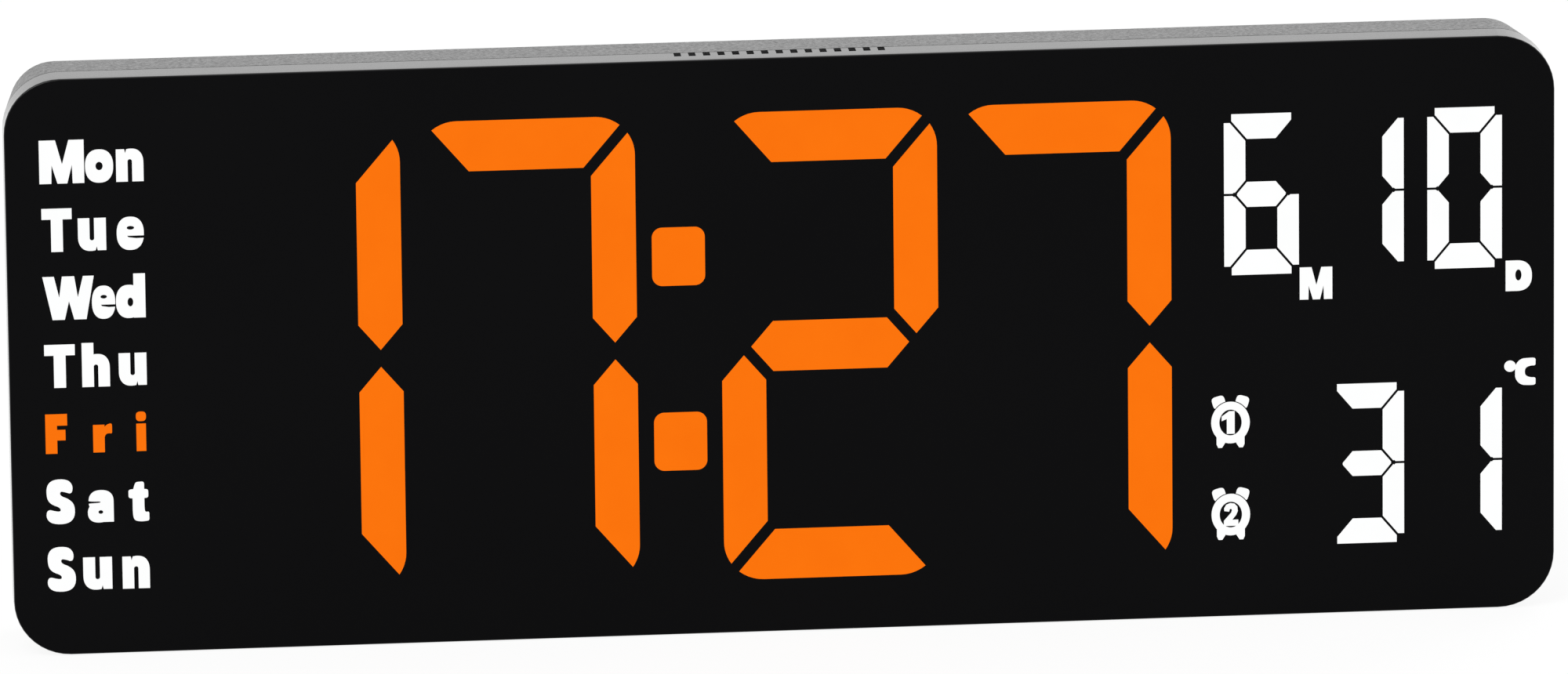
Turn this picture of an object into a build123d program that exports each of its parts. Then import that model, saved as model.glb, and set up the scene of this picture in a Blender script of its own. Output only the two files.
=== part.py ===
"""Digital wall clock: a slim LED clock with weekday, date and temperature, run from a power lead.

Millimetres, +Z up, origin on the floor under the middle of the case. The display faces -Y and the
wall is on the +Y side. Depths are counted from the front face backwards. Places on the face are
(x, height) from the middle of the face, x to the right as the clock is read.
"""
import os
from math import atan2, degrees, hypot

from build123d import *

os.makedirs("parts", exist_ok=True)

# Display, from the left edge of the face to the right edge
left_margin = 7.3
word_width = 21.6
word_gap = 8.5
digit_width = 46.3
digit_gap = 3.6
colon_space = 18.0
time_gap = 11.35
small_width = 16.0
month_gap = 6.5
small_gap = 5.05
unit_width = 6.4
right_margin = 4.9

# Display, from the middle of the face up and down
digit_height = 102.6
face_margin = 11.7
word_height = 10.6
word_drop = 2.0
word_count = 7
small_drop = 3.65
row_gap = 24.7
unit_height = 8.0
unit_drop_share = 0.25
alarm_width = 8.4
alarm_height = 12.7
alarm_pitch = 20.4

# Seven-segment strokes
digit_upright = 9.4
digit_bar = 11.0
digit_round = 8.5
digit_split = 2.4
digit_tip_share = 0.5
small_upright = 4.6
small_bar = 5.5
small_step = 1.6
small_split = 0.5
small_tip_share = 0.5
half_digit_gap = 2.0
colon_width = 11.3
colon_height = 12.8
colon_gap = 27.8
colon_round = 2.2

# Case
corner_radius = 12.0
cover_inset = 2.5
shadow_gap_width = 0.5
shadow_gap_depth = 0.4
wall = 2.2
back_edge_radius = 1.5
fit = 0.3
overrun = 1.0

# Stack from the front face to the back
panel_thickness = 2.0
panel_edge_radius = 0.5
light_box_depth = 7.0
board_thickness = 1.6
rear_space = 15.2

# Front frame
frame_depth = 5.0
flange_thickness = 1.5
lip_thickness = 1.0
lip_fit = 0.15
vent_count = 15
vent_pitch = 3.1
vent_width = 1.5
vent_length = 3.0

# Light box and board
light_box_rim = 1.8
legend_rim = 0.3
board_margin = 4.2
board_round = 8.0
board_notch_depth = 3.0
chip_length = 3.5
chip_width = 2.8
chip_height = 1.2
chip_spacing = 20.0

# Housing screws, their bosses on the frame and their pillars in the cover
boss_radius = 3.0
boss_inset_x = 11.0
boss_inset_height = 9.0
boss_floor = 1.2
screw_radius = 1.4
screw_play = 0.1
screw_hole_radius = 1.7
screw_head_radius = 2.6
screw_head_height = 1.8
screw_seat = 4.0
screw_recess_radius = 3.0
pillar_wall = 1.4
board_screw_radius = 0.9
board_screw_head_radius = 1.8
board_screw_head_height = 1.3
board_screw_length = 6.0
board_screw_share = 0.25

# Keys and switches
key_radius = 4.0
key_pitch = 16.0
key_drop = 40.0
key_fit = 0.15
key_proud = 1.0
key_travel = 0.6
key_flange_radius = 5.2
key_flange_thickness = 1.2
key_stem_radius = 2.2
key_edge_radius = 0.5
tray_depth = 1.2
tray_rim = 3.4
switch_side = 6.0
switch_height = 3.5
switch_bore_depth = 2.2
switch_floor_play = 0.2
plunger_radius = 1.75
plunger_fit = 0.1
plunger_reach = 3.9

# Stands
stand_x = 95.0
stand_rise = 10.0
stand_width = 16.0
stand_length = 46.0
stand_thickness = 3.6
stand_round = 4.0
stand_inset = 0.3
stand_side_play = 0.4
stand_floor_play = 0.5
stand_heel_play = 0.4
stand_rib = 1.6
stand_hollow_depth = 2.0
stand_hollow_count = 4
trunnion_radius = 1.3
trunnion_length = 1.6
trunnion_play = 0.1
finger_gap = 8.0
pocket_wall = 1.8

# Wall hangers
hanger_pitch = 200.0
hanger_drop = 38.0
hanger_entry_radius = 4.0
hanger_neck_radius = 2.0
hanger_travel = 8.0

# Power socket and its recess
recess_side = 24.0
recess_depth = 6.0
recess_rise = 26.0
recess_corner = 4.0
channel_width = 9.0
socket_side = 10.0
socket_neck_radius = 4.5
socket_bore_radius = 3.2
socket_bore_depth = 9.0
socket_pin_radius = 1.05
socket_pin_inset = 0.8
socket_pin_edge = 0.5

# Coin cell, its contacts, its cup and its cap
battery_x = 56.0
battery_height = 13.0
cell_radius = 10.0
cell_thickness = 3.2
cell_step = 0.6
cell_step_inset = 0.9
cell_play = 0.6
cap_radius = 13.0
cap_thickness = 1.6
cap_inset = 0.2
cap_play = 0.2
cap_skirt_thickness = 1.1
cap_skirt_depth = 1.8
cap_lug_reach = 2.5
cap_lug_thickness = 1.0
cap_lug_width = 6.0
cap_slot_length = 13.0
cap_slot_width = 1.8
cap_slot_depth = 0.9
cap_turn = 45.0
cup_wall = 1.6
contact_thickness = 0.4
contact_width = 3.0
contact_play = 0.1
contact_reach = 7.0

# Other pieces on the back of the board
buzzer_x = -50.0
buzzer_height = -10.0
buzzer_radius = 6.0
buzzer_length = 8.5
buzzer_port_radius = 1.2
buzzer_port_depth = 2.0
sound_hole_radius = 0.9
sound_ring_radius = 3.4
sound_hole_count = 6
chip_body_length = 15.0
chip_body_width = 9.0
chip_body_height = 2.2
chip_edge = 0.4
controller_x = -62.0
controller_height = 24.0
driver_clearance = 3.25
driver_height = -22.0
crystal_x = -80.0
crystal_length = 11.0
crystal_width = 4.6
crystal_height = 3.5
capacitor_radius = 3.2
capacitor_length = 9.0
capacitor_x = 24.0
capacitor_pitch = 9.0
capacitor_height = -24.0
thermistor_drop = 9.0
thermistor_radius = 1.3
thermistor_rise = 3.0
thermistor_lead_radius = 0.3
thermistor_lead_pitch = 1.4

# Overall sizes that follow from the display and the stack
time_width = 4 * digit_width + 2 * digit_gap + colon_space
date_width = 3 * small_width + month_gap + small_gap + unit_width
case_width = (
    left_margin + word_width + word_gap + time_width + time_gap + date_width + right_margin
)
case_height = digit_height + 2 * face_margin
parting_depth = panel_thickness + frame_depth
board_front = panel_thickness + light_box_depth
board_back = board_front + board_thickness
inner_depth = board_back + rear_space
case_depth = inner_depth + wall
lip_height = board_front - parting_depth
light_box_width = case_width - 2 * (wall + fit)
light_box_height = digit_height + 2 * light_box_rim
small_height = (digit_height - row_gap) / 2 - small_drop

# Columns of the display
word_x = -case_width / 2 + left_margin + word_width / 2
hour_tens_x = word_x + word_width / 2 + word_gap + digit_width / 2
hour_units_x = hour_tens_x + digit_width + digit_gap
colon_x = hour_units_x + (digit_width + colon_space) / 2
colon_pitch = colon_height + colon_gap
minute_tens_x = colon_x + (digit_width + colon_space) / 2
minute_units_x = minute_tens_x + digit_width + digit_gap
month_x = minute_units_x + digit_width / 2 + time_gap + small_width / 2
month_tens_x = month_x - small_width - half_digit_gap
day_tens_x = month_x + small_width + month_gap
day_units_x = day_tens_x + small_width + small_gap
unit_x = day_units_x + (small_width + unit_width) / 2
small_row = digit_height / 2 - small_drop - small_height / 2

# Screws: four at the corners, two beside the colon
corner_boss_x = case_width / 2 - boss_inset_x
corner_boss_height = case_height / 2 - boss_inset_height
boss_places = [(side * corner_boss_x, end * corner_boss_height) for side in (-1, 1) for end in (-1, 1)]
boss_places += [(colon_x, end * (light_box_height / 2 - boss_radius)) for end in (-1, 1)]
screw_seat_depth = board_back + screw_seat
pillar_radius = screw_recess_radius + pillar_wall


def facing(depth):
    """The plane at a depth behind the front face, centred on the face, with its normal to the front."""
    return Plane(origin=(0, depth - case_depth / 2, case_height / 2), x_dir=(1, 0, 0), z_dir=(0, -1, 0))


def keep(piece, name):
    """Label a finished piece and write it to its own file."""
    piece.part.label = name
    export_step(piece.part, f"parts/{name}.step")


def cut_strip(start, end, width):
    """Cut a straight strip from a sketch, running past both of its ends by its own width."""
    across = end[0] - start[0]
    up = end[1] - start[1]
    with Locations(((start[0] + end[0]) / 2, (start[1] + end[1]) / 2)):
        length = hypot(across, up) + 2 * width
        Rectangle(length, width, rotation=degrees(atan2(up, across)), mode=Mode.SUBTRACT)


def seven_segments(width, height, upright, bar, split, tip_share, outline, notched):
    """The seven faces of one digit, a to g: a figure eight cut apart by straight splits.

    The outline function draws the digit's outside. A notched digit has a V cut into each side, so that
    its uprights end in points at half height, and they end flat there on any other."""
    inner_x = width / 2 - upright
    inner_y = height / 2 - bar
    tip_x = inner_x + upright * tip_share
    notch = bar / 2 * (1 - tip_share) / tip_share if notched else 0
    with BuildSketch() as digit:
        outline()
        with GridLocations(0, (height - bar) / 2, 1, 2):
            Rectangle(2 * inner_x, (height - 3 * bar) / 2, mode=Mode.SUBTRACT)
        for side in (-1, 1):
            tip = (side * tip_x, 0)
            for end in (-1, 1):
                cut_strip((side * inner_x, end * inner_y), (side * width / 2, end * height / 2), split)
                cut_strip((side * inner_x, end * bar / 2), tip, split)
                cut_strip(tip, (side * width / 2, end * notch), split)
            if notched:
                with BuildLine():
                    Polyline(tip, (side * width / 2, notch), (side * width / 2, -notch), close=True)
                make_face(mode=Mode.SUBTRACT)
    letters = {(0, 1): "a", (1, 1): "b", (1, -1): "c", (0, -1): "d", (-1, -1): "e", (-1, 1): "f", (0, 0): "g"}
    faces = {}
    for face in digit.sketch.faces():
        middle = face.bounding_box().center()
        column = (middle.X > inner_x) - (middle.X < -inner_x)
        row = (middle.Y > bar / 2) - (middle.Y < -bar / 2)
        faces[letters[column, row]] = face
    return faces


def rounded_outline():
    """Outside of a time digit: rounded corners."""
    RectangleRounded(digit_width, digit_height, digit_round)


def stepped_outline():
    """Outside of a date digit: a small step in each corner, on the line of the split there."""
    Rectangle(small_width, small_height)
    with GridLocations(small_width, small_height, 2, 2):
        Rectangle(2 * small_step, 2 * small_step * small_bar / small_upright, mode=Mode.SUBTRACT)


big = seven_segments(
    digit_width, digit_height, digit_upright, digit_bar, digit_split, digit_tip_share, rounded_outline, True
)
small = seven_segments(
    small_width, small_height, small_upright, small_bar, small_split, small_tip_share, stepped_outline, False
)

# Each digit: its faces, its place and the segments that are lit at 17:27 on 10 June at 31 degrees
digits = {
    "hour_tens": (big, (hour_tens_x, 0), "bc"),
    "hour_units": (big, (hour_units_x, 0), "abc"),
    "minute_tens": (big, (minute_tens_x, 0), "abdeg"),
    "minute_units": (big, (minute_units_x, 0), "abc"),
    "month": (small, (month_x, small_row), "acdefg"),
    "day_tens": (small, (day_tens_x, small_row), "bc"),
    "day_units": (small, (day_units_x, small_row), "abcdef"),
    "temperature_tens": (small, (day_tens_x, -small_row), "abcdg"),
    "temperature_units": (small, (day_units_x, -small_row), "bc"),
}


def placed(faces, letters, place):
    """Copies of the named segments of a digit, moved to the digit's place on the face."""
    return [Pos(*place) * face for letter, face in faces.items() if letter in letters]


# The month needs only a one in front of it, so that digit has two segments
unlit_faces = placed(small, "bc", (month_tens_x, small_row))
lit_faces = {}
for name, (faces, place, lit) in digits.items():
    lit_faces[name] = placed(faces, lit, place)
    unlit_faces += placed(faces, set(faces) - set(lit), place)
window_faces = unlit_faces + [face for group in lit_faces.values() for face in group]


def case_outline(inset, mode=Mode.ADD):
    """The outline of the case, drawn in by an inset all round."""
    RectangleRounded(case_width - 2 * inset, case_height - 2 * inset, corner_radius - inset, mode=mode)


def colon_outline(mode=Mode.ADD):
    """The two rounded dots between hours and minutes."""
    with Locations((colon_x, 0)):
        with GridLocations(0, colon_pitch, 1, 2):
            RectangleRounded(colon_width, colon_height, colon_round, mode=mode)


# Front panel: one smoked sheet over the whole face, with a window for every segment
with BuildPart() as front_panel:
    with BuildSketch(facing(panel_thickness)):
        case_outline(0)
    extrude(amount=panel_thickness)
    fillet(front_panel.faces().sort_by(Axis.Y)[0].edges(), panel_edge_radius)
    with BuildSketch(facing(panel_thickness)):
        add(window_faces)
        colon_outline()
    extrude(amount=panel_thickness, mode=Mode.SUBTRACT)
keep(front_panel, "front_panel")

# Segment windows: translucent inserts, flush with the panel on both sides
for name, faces in lit_faces.items():
    with BuildPart() as segments:
        with BuildSketch(facing(panel_thickness)):
            add(faces)
        extrude(amount=panel_thickness)
    keep(segments, f"{name}_segments")

with BuildPart() as unlit_segments:
    with BuildSketch(facing(panel_thickness)):
        add(unlit_faces)
    extrude(amount=panel_thickness)
keep(unlit_segments, "unlit_segments")

with BuildPart() as colon_dots:
    with BuildSketch(facing(panel_thickness)):
        colon_outline()
    extrude(amount=panel_thickness)
keep(colon_dots, "colon_dots")


def light_box_outline(play):
    """The light box seen from the front, grown by a play: a rectangle cut back around the six bosses."""
    Rectangle(light_box_width + 2 * play, light_box_height + 2 * play)
    room = boss_radius + fit - play
    for x, height in boss_places:
        end = 1 if height > 0 else -1
        far_x = light_box_width / 2 + fit
        if abs(x) == corner_boss_x:
            side = 1 if x > 0 else -1
            inner = abs(x) - room
            middle_x = side * (inner + far_x) / 2
            span = far_x - inner
        else:
            middle_x = x
            span = 2 * room
        far = light_box_height / 2 + fit
        near = abs(height) - room
        with Locations((middle_x, end * (near + far) / 2)):
            Rectangle(span, far - near, mode=Mode.SUBTRACT)


# Front frame: the straight part of the case, a flange round the light box, bosses and a rear lip
with BuildPart() as front_frame:
    with BuildSketch(facing(parting_depth)):
        case_outline(0)
        case_outline(wall, mode=Mode.SUBTRACT)
    extrude(amount=frame_depth)
    with BuildSketch(facing(board_front - fit)):
        case_outline(wall - lip_thickness)
        case_outline(wall, mode=Mode.SUBTRACT)
    extrude(amount=lip_height - fit)
    with BuildSketch(facing(panel_thickness + flange_thickness)):
        case_outline(wall / 2)
        with BuildSketch(mode=Mode.PRIVATE) as window:
            light_box_outline(fit / 2)
        add(window.sketch, mode=Mode.SUBTRACT)
    extrude(amount=flange_thickness)
    with BuildSketch(facing(board_front)):
        with Locations(*boss_places):
            Circle(boss_radius)
    extrude(amount=light_box_depth)
    with BuildSketch(facing(board_front)):
        with Locations(*boss_places):
            Circle(screw_radius + screw_play)
    extrude(amount=light_box_depth - boss_floor, mode=Mode.SUBTRACT)
    with BuildSketch(facing(parting_depth)):
        with Locations((0, case_height / 2)):
            with GridLocations(vent_pitch, 0, vent_count, 1):
                Rectangle(vent_width, 2 * (wall + overrun))
    extrude(amount=vent_length, mode=Mode.SUBTRACT)
keep(front_frame, "front_frame")

# Places of the lit words and signs, which share the light box with the digits
word_pitch = (digit_height - 2 * word_drop - word_height) / (word_count - 1)
word_rows = [(index - (word_count - 1) / 2) * word_pitch for index in range(word_count)]
legend_cells = [(word_x, row, word_width, word_height) for row in word_rows]
unit_row = small_row - small_height / 2 - unit_height * unit_drop_share
legend_cells += [
    (month_x + (small_width + unit_width) / 2, unit_row, unit_width, unit_height),
    (unit_x, unit_row, unit_width, unit_height),
    (unit_x, -small_row + small_height / 2, unit_width, unit_height),
]
legend_cells += [
    (month_x - small_width / 2, -small_row + side * alarm_pitch / 2, alarm_width, alarm_height)
    for side in (-1, 1)
]

# Screws that hold the board to the light box, in its solid places between the digits
board_screw_x = word_x + (word_width + word_gap) / 2
board_screw_places = [(board_screw_x, end * digit_height * board_screw_share) for end in (-1, 1)]
board_screw_places += [(colon_x, 0), (day_tens_x, 0)]
board_screw_end = board_back - board_screw_length
driver_x = board_screw_x + board_screw_head_radius + driver_clearance + chip_body_length / 2

# Light box: one white moulding with a cell behind every segment, word and sign
with BuildPart() as light_box:
    with BuildSketch(facing(board_front)):
        light_box_outline(0)
    extrude(amount=light_box_depth)
    with BuildSketch(facing(board_front)):
        add(window_faces)
        colon_outline()
        for x, height, width, tall in legend_cells:
            with Locations((x, height)):
                Rectangle(width + 2 * legend_rim, tall + 2 * legend_rim)
    extrude(amount=light_box_depth, mode=Mode.SUBTRACT)
    with BuildSketch(facing(board_front)):
        with Locations(*board_screw_places):
            Circle(board_screw_radius + screw_play)
    extrude(amount=board_front - board_screw_end + fit, mode=Mode.SUBTRACT)
keep(light_box, "light_box")

# Circuit board: the LEDs in front, everything else behind, and a notch below the vents
with BuildPart() as led_board:
    with BuildSketch(facing(board_back)):
        RectangleRounded(case_width - 2 * board_margin, case_height - 2 * board_margin, board_round)
        with Locations((0, case_height / 2 - board_margin)):
            Rectangle(vent_count * vent_pitch, 2 * board_notch_depth, mode=Mode.SUBTRACT)
        with Locations(*boss_places):
            Circle(screw_hole_radius, mode=Mode.SUBTRACT)
        with Locations(*board_screw_places):
            Circle(board_screw_radius + screw_play, mode=Mode.SUBTRACT)
    extrude(amount=board_thickness)
keep(led_board, "led_board")


def chip_row(x, height, width, tall):
    """Places of the LEDs behind one lit field, spread along its longer side."""
    count = max(1, round(max(width, tall) / chip_spacing))
    steps = [(index + 0.5) / count - 0.5 for index in range(count)]
    if width > tall:
        return [(x + step * width, height) for step in steps]
    return [(x, height + step * tall) for step in steps]


chip_places = []
for face in window_faces:
    box = face.bounding_box()
    chip_places += chip_row(box.center().X, box.center().Y, box.size.X, box.size.Y)
for cell in legend_cells:
    chip_places += chip_row(*cell)
for end in (-1, 1):
    chip_places += chip_row(colon_x, end * colon_pitch / 2, colon_width, colon_height)

# LEDs: small white blocks on the front of the board, at the bottom of the cells
with BuildPart() as led_chips:
    with BuildSketch(facing(board_front)):
        with Locations(*chip_places):
            Rectangle(chip_length, chip_width)
    extrude(amount=chip_height)
keep(led_chips, "led_chips")

with BuildPart() as board_screws:
    with BuildSketch(facing(board_back)):
        with Locations(*board_screw_places):
            Circle(board_screw_radius)
    extrude(amount=board_screw_length)
    with BuildSketch(facing(board_back + board_screw_head_height)):
        with Locations(*board_screw_places):
            Circle(board_screw_head_radius)
    extrude(amount=board_screw_head_height)
keep(board_screws, "board_screws")

# Chips on the back of the board: the clock's controller and one LED driver at each end
with BuildPart() as controller_chip:
    with BuildSketch(facing(board_back + chip_body_height)):
        with Locations((controller_x, controller_height)):
            Rectangle(chip_body_length, chip_body_width)
    extrude(amount=chip_body_height)
    chamfer(controller_chip.faces().sort_by(Axis.Y)[-1].edges(), chip_edge)
keep(controller_chip, "controller_chip")

with BuildPart() as led_driver_chips:
    with BuildSketch(facing(board_back + chip_body_height)):
        with Locations((driver_x, driver_height), (-driver_x, driver_height)):
            Rectangle(chip_body_length, chip_body_width)
    extrude(amount=chip_body_height)
    chamfer(led_driver_chips.faces().group_by(Axis.Y)[-1].edges(), chip_edge)
keep(led_driver_chips, "led_driver_chips")

# Quartz crystal in its drawn steel can, beside the controller
with BuildPart() as clock_crystal:
    with BuildSketch(facing(board_back + crystal_height)):
        with Locations((crystal_x, controller_height)):
            SlotOverall(crystal_length, crystal_width)
    extrude(amount=crystal_height)
    chamfer(clock_crystal.faces().sort_by(Axis.Y)[-1].edges(), chip_edge)
keep(clock_crystal, "clock_crystal")

with BuildPart() as smoothing_capacitors:
    with BuildSketch(facing(board_back + capacitor_length)):
        with Locations((capacitor_x, capacitor_height)):
            with GridLocations(capacitor_pitch, 0, 2, 1):
                Circle(capacitor_radius)
    extrude(amount=capacitor_length)
    chamfer(smoothing_capacitors.faces().group_by(Axis.Y)[-1].edges(), chip_edge)
keep(smoothing_capacitors, "smoothing_capacitors")

# Buzzer: a round sounder whose port looks at the holes in the cover
buzzer_place = (buzzer_x, buzzer_height)
with BuildPart() as buzzer:
    with BuildSketch(facing(board_back + buzzer_length)):
        with Locations(buzzer_place):
            Circle(buzzer_radius)
    extrude(amount=buzzer_length)
    chamfer(buzzer.faces().sort_by(Axis.Y)[-1].edges(), chip_edge)
    with BuildSketch(facing(board_back + buzzer_length)):
        with Locations(buzzer_place):
            Circle(buzzer_port_radius)
    extrude(amount=buzzer_port_depth, mode=Mode.SUBTRACT)
keep(buzzer, "buzzer")

# Thermistor: a bead on two stiff leads, in the air below the vents
thermistor_height = case_height / 2 - thermistor_drop
with BuildPart() as thermistor:
    with BuildSketch(facing(board_back + thermistor_rise)):
        with Locations((0, thermistor_height)):
            with GridLocations(thermistor_lead_pitch, 0, 2, 1):
                Circle(thermistor_lead_radius)
    extrude(amount=thermistor_rise)
    bead_y = board_back + thermistor_rise - case_depth / 2
    with Locations((0, bead_y, case_height / 2 + thermistor_height)):
        Sphere(thermistor_radius)
keep(thermistor, "thermistor")

# Depths of the key stack, from the floor of the key tray inwards
tray_floor = case_depth - tray_depth
tray_inner = tray_floor - wall
key_flange_front = tray_inner - key_flange_thickness
switch_top = board_back + switch_height
plunger_top = switch_top + plunger_reach
plunger_end = switch_top - switch_bore_depth + key_travel + switch_floor_play
key_height = case_height / 2 - key_drop
key_names = ("alarm", "down", "up", "set")
key_places = {
    name: ((index - (len(key_names) - 1) / 2) * key_pitch, key_height) for index, name in enumerate(key_names)
}

with BuildPart() as key_switches:
    with BuildSketch(facing(switch_top)):
        with Locations(*key_places.values()):
            Rectangle(switch_side, switch_side)
    extrude(amount=switch_height)
    with BuildSketch(facing(switch_top)):
        with Locations(*key_places.values()):
            Circle(plunger_radius + plunger_fit)
    extrude(amount=switch_bore_depth, mode=Mode.SUBTRACT)
keep(key_switches, "key_switches")

# Keys: a cap in the cover's tray, a flange that keeps it in, and a stem down to the switch plunger
for name, place in key_places.items():
    with BuildPart() as plunger:
        with BuildSketch(facing(plunger_top)):
            with Locations(place):
                Circle(plunger_radius)
        extrude(amount=plunger_top - plunger_end)
    keep(plunger, f"{name}_switch_plunger")

    with BuildPart() as key:
        with BuildSketch(facing(tray_floor + key_proud)):
            with Locations(place):
                Circle(key_radius)
        extrude(amount=key_proud + wall)
        fillet(key.faces().sort_by(Axis.Y)[-1].edges(), key_edge_radius)
        with BuildSketch(facing(tray_inner)):
            with Locations(place):
                Circle(key_flange_radius)
        extrude(amount=key_flange_thickness)
        with BuildSketch(facing(key_flange_front)):
            with Locations(place):
                Circle(key_stem_radius)
        extrude(amount=key_flange_front - plunger_top)
    keep(key, f"{name}_key")

# Power socket: its neck fills the hole in the floor of the cover's recess
recess_place = (0, recess_rise - case_height / 2)
recess_floor = case_depth - recess_depth
recess_inner = recess_floor - pocket_wall
socket_shoulder = recess_inner - fit
socket_bore_end = recess_floor - socket_bore_depth
with BuildPart() as power_socket:
    with BuildSketch(facing(socket_shoulder)):
        with Locations(recess_place):
            Rectangle(socket_side, socket_side)
    extrude(amount=socket_shoulder - board_back)
    with BuildSketch(facing(recess_floor)):
        with Locations(recess_place):
            Circle(socket_neck_radius)
    extrude(amount=recess_floor - socket_shoulder)
    with BuildSketch(facing(recess_floor)):
        with Locations(recess_place):
            Circle(socket_bore_radius)
    extrude(amount=socket_bore_depth, mode=Mode.SUBTRACT)
keep(power_socket, "power_socket")

with BuildPart() as power_socket_pin:
    with BuildSketch(facing(recess_floor - socket_pin_inset)):
        with Locations(recess_place):
            Circle(socket_pin_radius)
    extrude(amount=socket_bore_depth - socket_pin_inset)
    chamfer(power_socket_pin.faces().sort_by(Axis.Y)[-1].edges(), socket_pin_edge)
keep(power_socket_pin, "power_socket_pin")

# Depths of the battery stack, from the cap inwards
battery_place = (battery_x, battery_height)
cap_outer = case_depth - cap_inset
cap_inner = cap_outer - cap_thickness
cap_skirt_end = cap_inner - cap_skirt_depth
cap_lug_top = cap_skirt_end + cap_lug_thickness
well_radius = cell_radius + cell_play
cap_skirt_radius = well_radius + cap_skirt_thickness
cap_lug_radius = cap_skirt_radius + cap_lug_reach
groove_radius = cap_lug_radius + cap_play
groove_end = cap_skirt_end - cap_play
cell_front = cap_inner - cell_thickness
well_floor = cell_front - contact_thickness - contact_play
cup_end = well_floor - cup_wall
cup_radius = groove_radius + cup_wall

with BuildPart() as coin_cell:
    with BuildSketch(facing(cap_inner)):
        with Locations(battery_place):
            Circle(cell_radius)
    extrude(amount=cell_thickness - cell_step)
    with BuildSketch(facing(cell_front + cell_step)):
        with Locations(battery_place):
            Circle(cell_radius - cell_step_inset)
    extrude(amount=cell_step)
keep(coin_cell, "coin_cell")

# Contacts: a leaf under the cell and a blade at its side, both with a tail down to the board
leaf_x = battery_x - contact_reach
with BuildPart() as battery_contact_negative:
    with BuildSketch(facing(cell_front)):
        with Locations((battery_x - contact_reach / 2, battery_height)):
            Rectangle(contact_reach, contact_width)
    extrude(amount=contact_thickness)
    with BuildSketch(facing(cell_front)):
        with Locations((leaf_x, battery_height)):
            Rectangle(contact_thickness, contact_width)
    extrude(amount=cell_front - board_back)
keep(battery_contact_negative, "battery_contact_negative")

blade_x = battery_x + cell_radius + contact_play + contact_thickness / 2
with BuildPart() as battery_contact_positive:
    with BuildSketch(facing(groove_end - contact_play)):
        with Locations((blade_x, battery_height)):
            Rectangle(contact_thickness, contact_width)
    extrude(amount=groove_end - contact_play - board_back)
keep(battery_contact_positive, "battery_contact_positive")

# Battery cap: a disc with a coin slot, a skirt round the cell and two lugs that turn under the rim
with BuildPart() as battery_cap:
    with BuildSketch(facing(cap_outer)):
        with Locations(battery_place):
            Circle(cap_radius)
    extrude(amount=cap_thickness)
    with BuildSketch(facing(cap_inner)):
        with Locations(battery_place):
            Circle(cap_skirt_radius)
            Circle(well_radius, mode=Mode.SUBTRACT)
    extrude(amount=cap_skirt_depth)
    with BuildSketch(facing(cap_lug_top)):
        with Locations(battery_place):
            Circle(cap_lug_radius)
            Rectangle(2 * cap_lug_radius, cap_lug_width, mode=Mode.INTERSECT)
            Circle(well_radius, mode=Mode.SUBTRACT)
    extrude(amount=cap_lug_thickness)
    with BuildSketch(facing(cap_outer)):
        with Locations(battery_place):
            SlotOverall(cap_slot_length, cap_slot_width)
    extrude(amount=cap_slot_depth, mode=Mode.SUBTRACT)
keep(battery_cap, "battery_cap")

# Stands: legs that lie in pockets of the cover and swing out on their own trunnions
stand_height = stand_rise - case_height / 2
stand_axis_depth = case_depth - stand_inset - stand_thickness / 2
stand_front = stand_axis_depth - stand_thickness / 2
pocket_floor = stand_front - stand_floor_play
pocket_low = stand_height - stand_thickness / 2 - stand_heel_play
pocket_high = stand_height + stand_length + stand_thickness / 2 + finger_gap
pocket_width = stand_width + 2 * stand_side_play
hollow_pitch = (stand_length - stand_thickness) / stand_hollow_count


def beside(x):
    """The plane across the hinge axis of the stands at a place along it, with its normal to the right."""
    axis = (x, stand_axis_depth - case_depth / 2, case_height / 2 + stand_height)
    return Plane(origin=axis, x_dir=(0, 1, 0), z_dir=(1, 0, 0))


for name, stand_middle in (("left_stand", -stand_x), ("right_stand", stand_x)):
    with BuildPart() as stand:
        with BuildSketch(beside(stand_middle - stand_width / 2)):
            with Locations((0, stand_length / 2)):
                SlotCenterToCenter(stand_length, stand_thickness, rotation=90)
        extrude(amount=stand_width)
        with BuildSketch(facing(case_depth)):
            with Locations((stand_middle, stand_height + stand_length / 2)):
                RectangleRounded(stand_width, stand_length + stand_thickness, stand_round)
            with Locations((stand_middle, stand_height)):
                Rectangle(stand_width, 2 * stand_round)
        extrude(amount=case_depth - pocket_floor, mode=Mode.INTERSECT)
        with BuildSketch(facing(stand_front + stand_hollow_depth)):
            with Locations((stand_middle, stand_height + stand_length / 2)):
                with GridLocations(0, hollow_pitch, 1, stand_hollow_count):
                    Rectangle(stand_width - 2 * stand_rib, hollow_pitch - stand_rib)
        extrude(amount=stand_hollow_depth, mode=Mode.SUBTRACT)
        with BuildSketch(beside(stand_middle - stand_width / 2 - trunnion_length)):
            Circle(trunnion_radius)
        extrude(amount=stand_width + 2 * trunnion_length)
    keep(stand, name)


def recess_outline(grow, low):
    """The power recess with its lead channel running down to a height, grown on all sides."""
    with Locations(recess_place):
        RectangleRounded(recess_side + 2 * grow, recess_side + 2 * grow, recess_corner + grow)
    with Locations((recess_place[0], (recess_place[1] + low) / 2)):
        Rectangle(channel_width + 2 * grow, recess_place[1] - low)


def tray_outline(grow):
    """The rounded tray round the four keys, grown on all sides."""
    length = (len(key_names) - 1) * key_pitch + 2 * (key_radius + tray_rim + grow)
    with Locations((0, key_height)):
        SlotOverall(length, 2 * (key_radius + tray_rim + grow))


def pocket_outline(grow):
    """The two stand pockets with their finger gaps, grown on all sides."""
    with Locations((0, (pocket_low + pocket_high) / 2)):
        with GridLocations(2 * stand_x, 0, 2, 1):
            Rectangle(pocket_width + 2 * grow, pocket_high - pocket_low + 2 * grow)


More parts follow.
